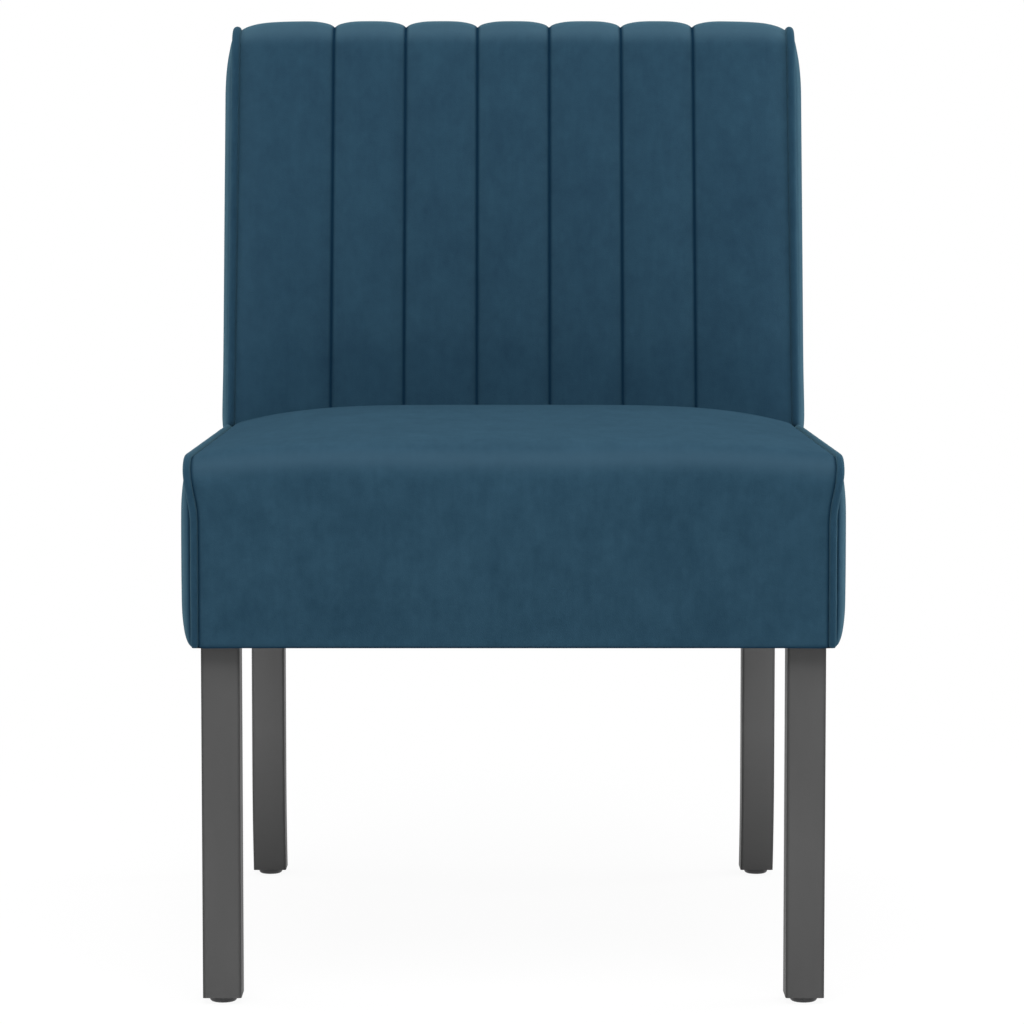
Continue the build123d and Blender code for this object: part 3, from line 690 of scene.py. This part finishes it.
def hem_shade(z):
    """The turned foot of the hem is in its own shadow."""
    return 0.95 * fade(z - underside, 2.4 * mm, 6)


seat_rows = seat_rear_and_top() + seat_nose_and_underside()
# The seam line beside the piping is dark partly as a seam and partly as painted shade.
seat_seam = fade(from_side, seam_width, 4)
# top paints light on the seat's upward faces, a paler colour as if lit from above.
seat, seat_held = loop_piece(
    "seat_cushion", seat_x, seat_rows, seat_seam, seat_cloth, seat_spread, hem_shade, pressed=0.93, top=0.42
)[:2]
swell(seat, seat_held.ravel(), 3 * mm)
smooth(seat)
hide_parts("seat_cover", "seat_foam", "seat_front_wadding")
print("seat points:", len(seat.data.vertices))

# %% [markdown]
# ## The channelled back
# Seven channels are sewn from top to bottom into the padding; the outer two are wide and fall away to the
# piping. Each channel rises quickly beside its seams and is flat in the middle, and they run over the top
# to the rear. They could be seven separate tubes, but the cloth is one piece, so the height across is one
# function of x, pushed out square to the leaning front, the rolled top edge and the top. The seams are
# drawn in after the stuffing, with small tucks beside them, because the stuffing would lift them.

# %% Heights across the back
pitch = 65.4 * mm
channel_seams = [(k - 2.5) * pitch for k in range(6)]
outer_seam = channel_seams[-1]
back_x = places([-half, *channel_seams, half], 6.5 * mm)
seam_gap = np.min([np.abs(back_x - s) for s in channel_seams], axis=0)
edge_gap = half - np.abs(back_x)
seam_rise, channel_swell = 1.9 * mm, 5 * mm
to_edge = np.clip((np.abs(back_x) - outer_seam) / (half - outer_seam), 0, 1)
edge_drop = 3 * mm * to_edge**3 + 6 * mm * to_edge**9
to_middle = 1 - np.clip(1 - seam_gap / (pitch / 2), 0, 1) ** 3.5
channel_rise = seam_rise + channel_swell * to_middle - edge_drop
print("channels rise", round(channel_rise.max() / mm, 2), "mm; edge", round(channel_rise[0] / mm, 2), "mm")

# %% Sizes of the back
roll = 23 * mm
axis_u = (cad_high.z - 30 * mm - lean_z + roll * math.sin(lean)) / math.cos(lean)
top_u = axis_u + roll
back_thick = 117.5 * mm
rear_round = 4 * mm
level_n = back_thick - rear_round
pad_depth = 64 * mm
pad_foot = 379.3 * mm
cap_low = top_u - 26 * mm
cap_in = 2.5 * mm
rear_sweep, rear_rise = 20.5 * mm, 491.5 * mm


def rear_at(z):
    """The y of the rear panel's cloth at height z."""
    return -front - rear_sweep + (z - underside) * (rear_sweep / rear_rise)


print("rear cloth from y =", round(rear_at(underside), 4), "to", round(rear_at(cad_high.z), 4))


# %% Back outline: up the front and round the top edge
def back_front_and_roll():
    """Rows of (y, z), one value for each column."""
    rows = [(lean_at(n, pad_foot), pad_foot) for n in (pad_depth, pad_depth / 2)]
    foot_u = (pad_foot - lean_z) / math.cos(lean)
    for u in np.linspace(foot_u, axis_u, 50):
        rows.append(lean_point(-channel_rise, u))
    reach = roll + channel_rise
    for turn in np.linspace(0, math.pi / 2, 13)[1:]:
        rows.append(lean_point(roll - reach * math.cos(turn), axis_u + reach * math.sin(turn)))
    return rows


# %% Back outline: over the top and down inside the rear
def back_top_and_inside():
    """Rows of (y, z), one value for each column."""
    rows = []
    for share in np.linspace(0, 1, 11)[1:]:
        flat = channel_rise * (1 - 0.75 * share**3)
        rows.append(lean_point(roll + (level_n - roll) * share, top_u + flat))
    last = 0.25 * channel_rise
    for turn in np.radians([30, 60, 90]):
        drop = rear_round * (1 - math.cos(turn))
        rows.append(lean_point(level_n + rear_round * math.sin(turn), top_u + last * math.cos(turn) - drop))
    for u in (top_u - 15 * mm, cap_low):
        z = lean_point(back_thick, u)[1]
        rows.append((rear_at(z) - cap_in, z))
    rows.append(lean_point(pad_depth + 20 * mm, cap_low))
    rows.append(lean_point(pad_depth, cap_low))
    cap_z = lean_point(pad_depth, cap_low)[1]
    for share in (0.25, 0.5, 0.75):
        z = cap_z * (1 - share) + pad_foot * share
        rows.append((lean_at(pad_depth, z), z))
    return rows


# %% Back cushion
back_cloth = (4, 72)


def back_taper(z):
    """The back narrows a little towards its top."""
    return -2 * mm * (z - seam_top) / (cad_high.z - seam_top)


def back_spread(z):
    """How far the back's sides stand out at height z."""
    return back_taper(z) + 1.6 * mm


def back_foot_painted_shade(z):
    """Painted shade at the foot of the back, where the seat stands before it."""
    return 0.4 * (1 - ease(z, seam_top + crown_rear + 35 * mm, 45 * mm))


back_rows = back_front_and_roll() + back_top_and_inside()
# The channel seams are dark partly as seams and partly as painted shade in their grooves; the outer edge
# beside the piping gets painted shade.
back_seam = np.maximum(fade(seam_gap, seam_width, 2.6), 0.4 * fade(edge_gap, seam_width))
# bend paints a highlight on the rolled top edge, a paler colour where the lamps would light it.
back, back_held, back_run = loop_piece(
    "back_cushion", back_x, back_rows, back_seam, back_cloth, back_spread, back_foot_painted_shade, bend=0.8
)
back_held |= (seam_gap < 1 * mm)[None]
swell(back, back_held.ravel(), 1 * mm)
print("back points:", len(back.data.vertices))

# %% Draw the channel seams in
stitched = slice(2, 78)
stitch = 1 * mm * fade(seam_gap, 1.7 * mm)
tucks = 0.35 * mm * gathers(back_run, np.minimum(seam_gap, edge_gap)[None], 5)
depth = np.zeros(back_run.shape)
depth[stitched] = (tucks - stitch[None])[stitched]
outward = read_points(back.data.vertex_normals, "vector")
outward[:, 0] = 0
write_points(back.data, read_points(back.data.vertices, "co") + outward * depth.reshape(-1, 1))
smooth(back)
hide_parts("back_cover", "back_foam")
print("seams drawn in by up to", round(-depth.min() / mm, 2), "mm")

# %% [markdown]
# ## Side panels
# A flat pillow closes each side of the seat and of the back: foam under velvet, sewn to the piping in
# front and on top. It could be cut out of a slab, but then its rim would be square. Its outline has four
# sides and one round corner, so a grid is stretched between the four sides, and each point stands out by
# its distance from the rim.


# %% Lines and rims
def points_along(line, shares):
    """Points at shares of the length of a broken line."""
    line = np.array(line, float)
    run = run_of(line)
    return np.stack([np.interp(shares * run[-1], run, line[:, k]) for k in (0, 1)], axis=-1)


def arc(centre, radius, first, last, count=9):
    turns = np.radians(np.linspace(first, last, count))
    return [(centre[0] + radius * math.cos(t), centre[1] + radius * math.sin(t)) for t in turns]


def edge_rise(gap, quick, slow, share):
    """0 at a rim and 1 inside: a share of the rise is a quick roll, the rest a slow dome."""
    roll_over = np.sqrt(1 - (1 - np.clip(gap / quick, 0, 1)) ** 2)
    dome = 1 - (1 - np.clip(gap / slow, 0, 1)) ** 2
    return share * roll_over + (1 - share) * dome


# %% Pillow between four sides
rim_steps = (0, 1.0, 2.5, 4.5, 7.0, 10.0, 14.0)
pillow_step = 9 * mm
everywhere = slice(None)
rims = ((0, everywhere), (-1, everywhere), (everywhere, 0), (everywhere, -1))


def stretch_between(sides):
    """A grid of (y, z) between a bottom, top, front and rear line, and its distances from them."""
    bottom, top, fore, aft = sides
    length = np.linalg.norm(np.subtract(bottom[0], bottom[-1]))
    rise = np.linalg.norm(np.subtract(aft[0], aft[-1]))
    u = places([0, length], pillow_step, rim_steps)[None, :, None] / length
    v = places([0, rise], pillow_step, rim_steps)[:, None, None] / rise
    low, high = points_along(bottom, u.ravel())[None], points_along(top, u.ravel())[None]
    left, right = points_along(fore, v.ravel())[:, None], points_along(aft, v.ravel())[:, None]
    low_corners = (1 - u) * (1 - v) * low[:, :1] + u * (1 - v) * low[:, -1:]
    high_corners = (1 - u) * v * high[:, :1] + u * v * high[:, -1:]
    flat = (1 - v) * low + v * high + (1 - u) * left + u * right - (low_corners + high_corners)
    gaps = []
    for side, rim in zip(sides, rims):
        line = points_along(side, np.linspace(0, 1, 160))
        gap = np.sqrt(((flat[:, :, None] - line[None, None]) ** 2).sum(-1)).min(-1)
        gap[rim] = 0
        gaps.append(gap)
    return flat, gaps


def side_pillow(name, sides, hand, rim_x, full_x, rises, replaced):
    """A panel between four lines, standing out from rim_x to full_x on one hand."""
    flat, gaps = stretch_between(sides)
    stand = np.prod([edge_rise(gap, *kind) for gap, kind in zip(gaps, rises)], axis=0)
    start = rim_x(flat[..., 1])
    out = start + (full_x - start) * stand
    points = np.concatenate([hand * out[..., None], flat], axis=-1)
    lay = np.concatenate([flat, 0 * out[..., None]], axis=-1)
    index = np.arange(out.size).reshape(out.shape)
    ring = np.concatenate([index[0], index[1:, -1], index[-1, -2::-1], index[-2:0:-1, 0]])
    gap = np.min(gaps, axis=0)
    # Painted shade darkens the rim beside the piping, and opened paints light: the whole panel is a little
    # paler, as a painted sheen.
    seam = 0.8 * fade(gap, 1.6 * mm, 4)
    piece = sew(name, points, lay, seam, [ring.tolist()], pressed=0.45, painted_light_share=0.3)
    swell(piece, (gap < 1.2 * mm).ravel(), 1.5 * mm)
    smooth(piece)
    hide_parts(*replaced)
    return piece


# %% Outline of the seat's side panels
piping = 6.5 * mm
panel_in = piping - 2.6 * mm
panel_front = front + panel_in
panel_top = seam_top - panel_in
panel_low = underside + 0.5 * mm
corner_round = nose_radius - panel_in
corner = (panel_front + corner_round, panel_top - corner_round)
before_back = np.linspace(corner[0], lean_y - 20 * mm, 6)
under_back = np.linspace(lean_y - 16 * mm, lean_y + 12 * mm, 8)
edge_y = np.concatenate([before_back, under_back])
sunk_top = panel_top - sink_depth
seat_edge = [*zip(edge_y, panel_top - sink(edge_y)), (rear_at(sunk_top), sunk_top)]
seat_sides = (
    [(panel_front, panel_low), (rear_at(panel_low), panel_low)],
    [*arc(corner, corner_round, 135, 90), *seat_edge[1:]],
    [(panel_front, panel_low), *arc(corner, corner_round, 180, 135)],
    [(rear_at(panel_low), panel_low), seat_edge[-1]],
)


def seat_rim(z):
    """Where the panel's rim stands, out from the chair's middle."""
    return half + 0.6 * mm + 2.5 * mm * flare(z)


print("seat panel is", round((sunk_top - panel_low) / mm, 1), "mm high at the rear")

# %% Outline of the back's side panels
back_low = seam_top - sink_depth - 1.6 * mm
back_foot = (lean_at(panel_in, seam_top) + 2 * mm, back_low)
top_axis = lean_point(roll, axis_u)
back_round = roll - panel_in
tilt = math.degrees(lean)
rear_high = lean_point(back_thick, axis_u + back_round)[1]
back_sides = (
    [back_foot, (rear_at(back_low), back_low)],
    [*arc(top_axis, back_round, 135 - tilt, 90 - tilt), (rear_at(rear_high), rear_high)],
    [back_foot, *arc(top_axis, back_round, 180 - tilt, 135 - tilt)],
    [(rear_at(back_low), back_low), (rear_at(rear_high), rear_high)],
)


def back_rim(z):
    """Where the panel's rim stands, out from the chair's middle."""
    return half + 0.6 * mm + back_taper(z)


print("back panel is", round((rear_high - back_low) / mm, 1), "mm high at the rear")

# %% Side panels of the seat and the back
soft_edge = (6 * mm, 40 * mm, 0.5)
hem_edge = (8 * mm, 28 * mm, 0.62)
slow_edge = (6 * mm, 54 * mm, 0.6)
tight_edge = (3 * mm, 20 * mm, 0.9)
panels = {
    "seat": (seat_sides, seat_rim, half + 12 * mm, (hem_edge, soft_edge, soft_edge, soft_edge)),
    "back": (back_sides, back_rim, half + 16.2 * mm, (tight_edge, slow_edge, soft_edge, soft_edge)),
}
hands = ((-1, "left"), (1, "right"))
for hand, side in hands:
    for part, (sides, rim_x, full_x, rises) in panels.items():
        covered = [f"{part}_side_cover_{side}", f"{part}_side_padding_{side}"]
        if part == "back":
            covered.append(f"back_side_filler_{side}")
        pillow = side_pillow(f"{part}_side_panel_{side}", sides, hand, rim_x, full_x, rises, covered)
        print(pillow.name, "points:", len(pillow.data.vertices))

# %% [markdown]
# ## Piping
# A cord wrapped in velvet is sewn into each seam between a side panel and the cover. A curve with a bevel
# would be a perfect tube; a sewn cord is slightly uneven, so rings are placed along the seam and their
# size wanders a little.

# %% A wrapped cord
ring_step = 3 * mm
weld_gap = 0.01 * mm


def piping_cord(name, line, hand, cord_x, thick, dark, replaced):
    """A wrapped cord along a (y, z) line; cord_x gives its middle for each height."""
    length = run_of(line)[-1]
    count = round(length / ring_step)
    path = points_along(line, np.linspace(0, 1, count))
    for _ in range(2):
        path[1:-1] = (path[:-2] + 2 * path[1:-1] + path[2:]) / 4
    ahead = np.gradient(path, axis=0)
    ahead /= np.linalg.norm(ahead, axis=1)[:, None]
    out = np.stack([-ahead[:, 1], ahead[:, 0]], axis=-1)
    run = np.linspace(0, length, count)[:, None]
    size = thick / 2 * (1 + 0.035 * waves(run, 0 * run, (13 * mm, 21 * mm, 50 * mm), len(name)))
    size[[0, -1]] *= 0.7
    turns = np.linspace(0, 2 * math.pi, 15)
    ring_x = hand * (cord_x(path[:, 1:]) + size * np.cos(turns))
    ring_yz = path[:, None] + out[:, None] * (size * np.sin(turns))[..., None]
    points = np.concatenate([ring_x[..., None], ring_yz], axis=-1)
    lay = np.stack([size * turns, run + 0 * turns, 0 * ring_x], axis=-1)
    index = np.arange(ring_x.size).reshape(ring_x.shape)
    caps = [index[0, :-1].tolist(), index[-1, -2::-1].tolist()]
    # dark is painted shade, darkening the whole cord as if shaded in its seam.
    cord = sew(name, points, lay, 0 * ring_x + dark, caps, bend=0.0)
    mend(cord.data, weld_gap)
    smooth(cord)
    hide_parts(replaced)
    return cord


# %% Piping cords
cord_in = piping / 2
back_piping = 8 * mm
nose_centre = (nose_y, seam_top - nose_radius)
cord_end = seam_top - sink_depth - cord_in
cord_foot = seam_top - 3 * mm
seat_line = [
    (front + cord_in, underside + 0.6 * mm),
    *arc(nose_centre, nose_radius - cord_in, 180, 90, 25),
    *zip(edge_y[1:], seam_top - cord_in - sink(edge_y[1:])),
    (rear_at(cord_end) - 2.6 * mm, cord_end),
]
back_line = [
    (lean_at(cord_in, cord_foot), cord_foot),
    *arc(top_axis, roll - cord_in + 1.5 * mm, 180 - tilt, 90 - tilt, 25),
    lean_point(level_n, top_u - cord_in + 0.8 * mm),
]


def seat_cord_x(z):
    return half - 0.7 * mm + flare_out * flare(z)


def back_cord_x(z):
    return half + 4.4 * mm + back_taper(z)


# The last number of each cord is painted shade: the cord is darkened as if shaded in its seam.
cords = {
    "seat": (seat_line, seat_cord_x, piping, 0.4),
    "back": (back_line, back_cord_x, back_piping, 0.42),
}
for hand, side in hands:
    for part, (line, cord_x, thick, dark) in cords.items():
        name = f"{part}_piping_cord_{side}"
        cord = piping_cord(name, line, hand, cord_x, thick, dark, f"{part}_piping_{side}")
        print(cord.name, "points:", len(cord.data.vertices))

# %% [markdown]
# ## Rear cover and dust cover
# The rear cover is velvet stretched over a board, and the dust cover is thin felted cloth under the seat.
# A thin box would do from afar, but stretched cloth is never quite even. Both are single sheets, so each
# is a grid with a faint unevenness; the rear cover's rim turns in and the dust cover sags between the
# rails.

# %% Rear cover
rear_half = half + 3.4 * mm
rear_steps = (0, 1.5, 3, 5)
rear_x = places([-rear_half, rear_half], 14 * mm, rear_steps)
rear_z = places([underside + 0.5 * mm, rear_high], 12 * mm, rear_steps)
grid_x, grid_z = np.meshgrid(rear_x, rear_z)
rim_gap = np.minimum(rear_half - np.abs(grid_x), np.minimum(grid_z - rear_z[0], rear_z[-1] - grid_z))
fall = 2.2 * mm * np.clip(1 - rim_gap / (5 * mm), 0, 1) ** 2
ripple = 0.35 * mm * waves(grid_x, grid_z, (0.13, 0.19, 0.31), 11) * np.clip(rim_gap / (50 * mm), 0, 1)
rear_points = np.stack([grid_x, rear_at(grid_z) + 0.4 * mm + ripple - fall, grid_z], axis=-1)
rear_lay = np.stack([grid_x, grid_z, 0 * grid_x], axis=-1)
# Painted shade darkens the rim where the cloth turns in.
rear_cover = sew("rear_cover", rear_points, rear_lay, 0.6 * fade(rim_gap, 1.8 * mm), [])
smooth(rear_cover)
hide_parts("back_rear_cover")
print("rear cover points:", len(rear_cover.data.vertices))

# %% Dust cover
dust_low, dust_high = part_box("dust_cover")
dust_in = 1 * mm
dust_x = np.linspace(dust_low.x + dust_in, dust_high.x - dust_in, 61)
dust_y = np.linspace(dust_low.y + dust_in, dust_high.y - dust_in, 73)
felt_x, felt_y = np.meshgrid(dust_x, dust_y)
felt_gap = np.minimum(dust_high.x - np.abs(felt_x), np.minimum(felt_y - dust_low.y, dust_high.y - felt_y))
slack = ease(felt_gap, 60 * mm, 90 * mm)
creases = waves(felt_x, felt_y, (0.07, 0.11, 0.16, 0.23), 3)
felt_z = dust_low.z + 0.5 * mm - (2.2 + 0.8 * creases) * mm * slack
dust_points = np.stack([felt_x, felt_y, felt_z], axis=-1)
dust = sew("dust_sheet", dust_points, dust_points, 0 * felt_z, [])
dust.data.materials[0] = speckled("black_felt", linear(20, 20, 21), linear(40, 40, 42), 900, 0.95)
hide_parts("dust_cover")
print("dust cover sags", round((dust_low.z - felt_z.min()) / mm, 2), "mm")

# %% [markdown]
# ## Light
# The picture was taken on white with broad soft light from above and in front, so no edge has a hard
# shadow. One large lamp could light the front, but then the sides would go dark. So there are seven large
# lamps: one overhead, one in front, two on each side and one behind, and the right side is the brighter
# one.

# %% Lamps
low_aim, side_size = (0, 0, 0.4), (1.6, 2.0)
lamps = {
    "overhead": ((0, -0.3, 2.9), low_aim, (2.6, 2.0), 25),
    "front": ((0, -1.9, 2.7), low_aim, (2.6, 1.6), 67),
    "left": ((-2.6, -1.2, 1.3), low_aim, side_size, 8),
    "right": ((2.6, -1.2, 1.3), low_aim, side_size, 6),
    "side_left": ((-2.8, 0.5, 1.3), low_aim, side_size, 28),
    "side_right": ((2.8, 0.5, 1.3), low_aim, side_size, 58),
    "rear": ((0, 3.3, 1.1), (0, 0, 0.5), (2.4, 1.4), 22),
}
for name, (place, aim, size, watts) in lamps.items():
    lamp_data = bpy.data.lights.new(name, "AREA")
    lamp_data.shape = "RECTANGLE"
    lamp_data.size, lamp_data.size_y = size
    lamp_data.energy = watts
    lamp = bpy.data.objects.new(name, lamp_data)
    lamp.location = place
    x, y, z = np.subtract(aim, place)
    lamp.rotation_euler = (math.acos(-z / math.hypot(x, y, z)), 0, math.atan2(y, x) - math.pi / 2)
    scene.collection.objects.link(lamp)
print("lamps:", len(lamps), "with", sum(setting[-1] for setting in lamps.values()), "W in all")

# %% [markdown]
# ## Sky and ground
# The ground in the picture is white, with hardly a shadow. More light would bleach the chair with it, so
# the sky is dim for the light it gives, and white only for rays that look straight at it or see it in a
# mirror or through glass. The ground does the same, and keeps a little of the shadow near the chair.


# %% Sky
def seen_directly(wire):
    """1 for rays that show the background itself: from the camera, a mirror or glass."""
    kinds = ("Is Camera Ray", "Is Glossy Ray", "Is Transmission Ray")
    camera_ray, mirror_ray, glass_ray = (wire.node("ShaderNodeLightPath", out=kind) for kind in kinds)
    return (camera_ray + mirror_ray + glass_ray).clamp()


white = (1, 1, 1, 1)
sky_strength = 0.32
world = bpy.data.worlds.new("studio")
scene.world = world
world.use_nodes = True
world.node_tree.nodes.clear()
sky = Wire(world.node_tree)
dim = sky.node("ShaderNodeBackground", {}, {"Color": white, "Strength": sky_strength})
bright = sky.node("ShaderNodeBackground", {}, {"Color": white, "Strength": 1.0})
both = sky.node("ShaderNodeMixShader", {}, {0: seen_directly(sky), 1: dim, 2: bright})
sky.node("ShaderNodeOutputWorld", {}, {"Surface": both})
print("sky gives", sky_strength, "of white")

# %% White ground
reach = 9.0
corners = [(-reach, -reach, 0), (reach, -reach, 0), (reach, reach, 0), (-reach, reach, 0)]
ground_mesh = bpy.data.meshes.new("ground")
ground_mesh.from_pydata(corners, [], [(0, 1, 2, 3)])
ground = bpy.data.objects.new("ground", ground_mesh)
scene.collection.objects.link(ground)
ground_finish, floor = new_finish("white_ground")
spot = place_of(floor)
speck = noise(floor, spot, 60, 3, 0.6)
away = floor.node("ShaderNodeVectorMath", {"operation": "LENGTH"}, {0: spot}, out="Value")
shadow_range = {"Value": away, "From Min": 0.35, "From Max": 1.5, "To Min": 0.93, "To Max": 1.0}
clear = floor.node("ShaderNodeMapRange", {"interpolation_type": "SMOOTHSTEP"}, shadow_range)
paper = floor.node("ShaderNodeBsdfDiffuse", {}, {"Color": blend(floor, speck, [0.9] * 3, [0.93] * 3)})
glow = floor.node("ShaderNodeEmission", {}, {"Color": white, "Strength": 1.0})
shown = floor.node("ShaderNodeMixShader", {}, {0: seen_directly(floor) * clear, 1: paper, 2: glow})
floor.node("ShaderNodeOutputMaterial", {}, {"Surface": shown})
ground_mesh.materials.append(ground_finish)
print("ground reaches", reach, "m each way")

# %% [markdown]
# ## Closing
# The picture is shown without a film look, so that a colour comes out about as it is written. Cloth may
# stand a little proud of the solids it replaces.

# %% View setting
scene.view_settings.view_transform = "Standard"
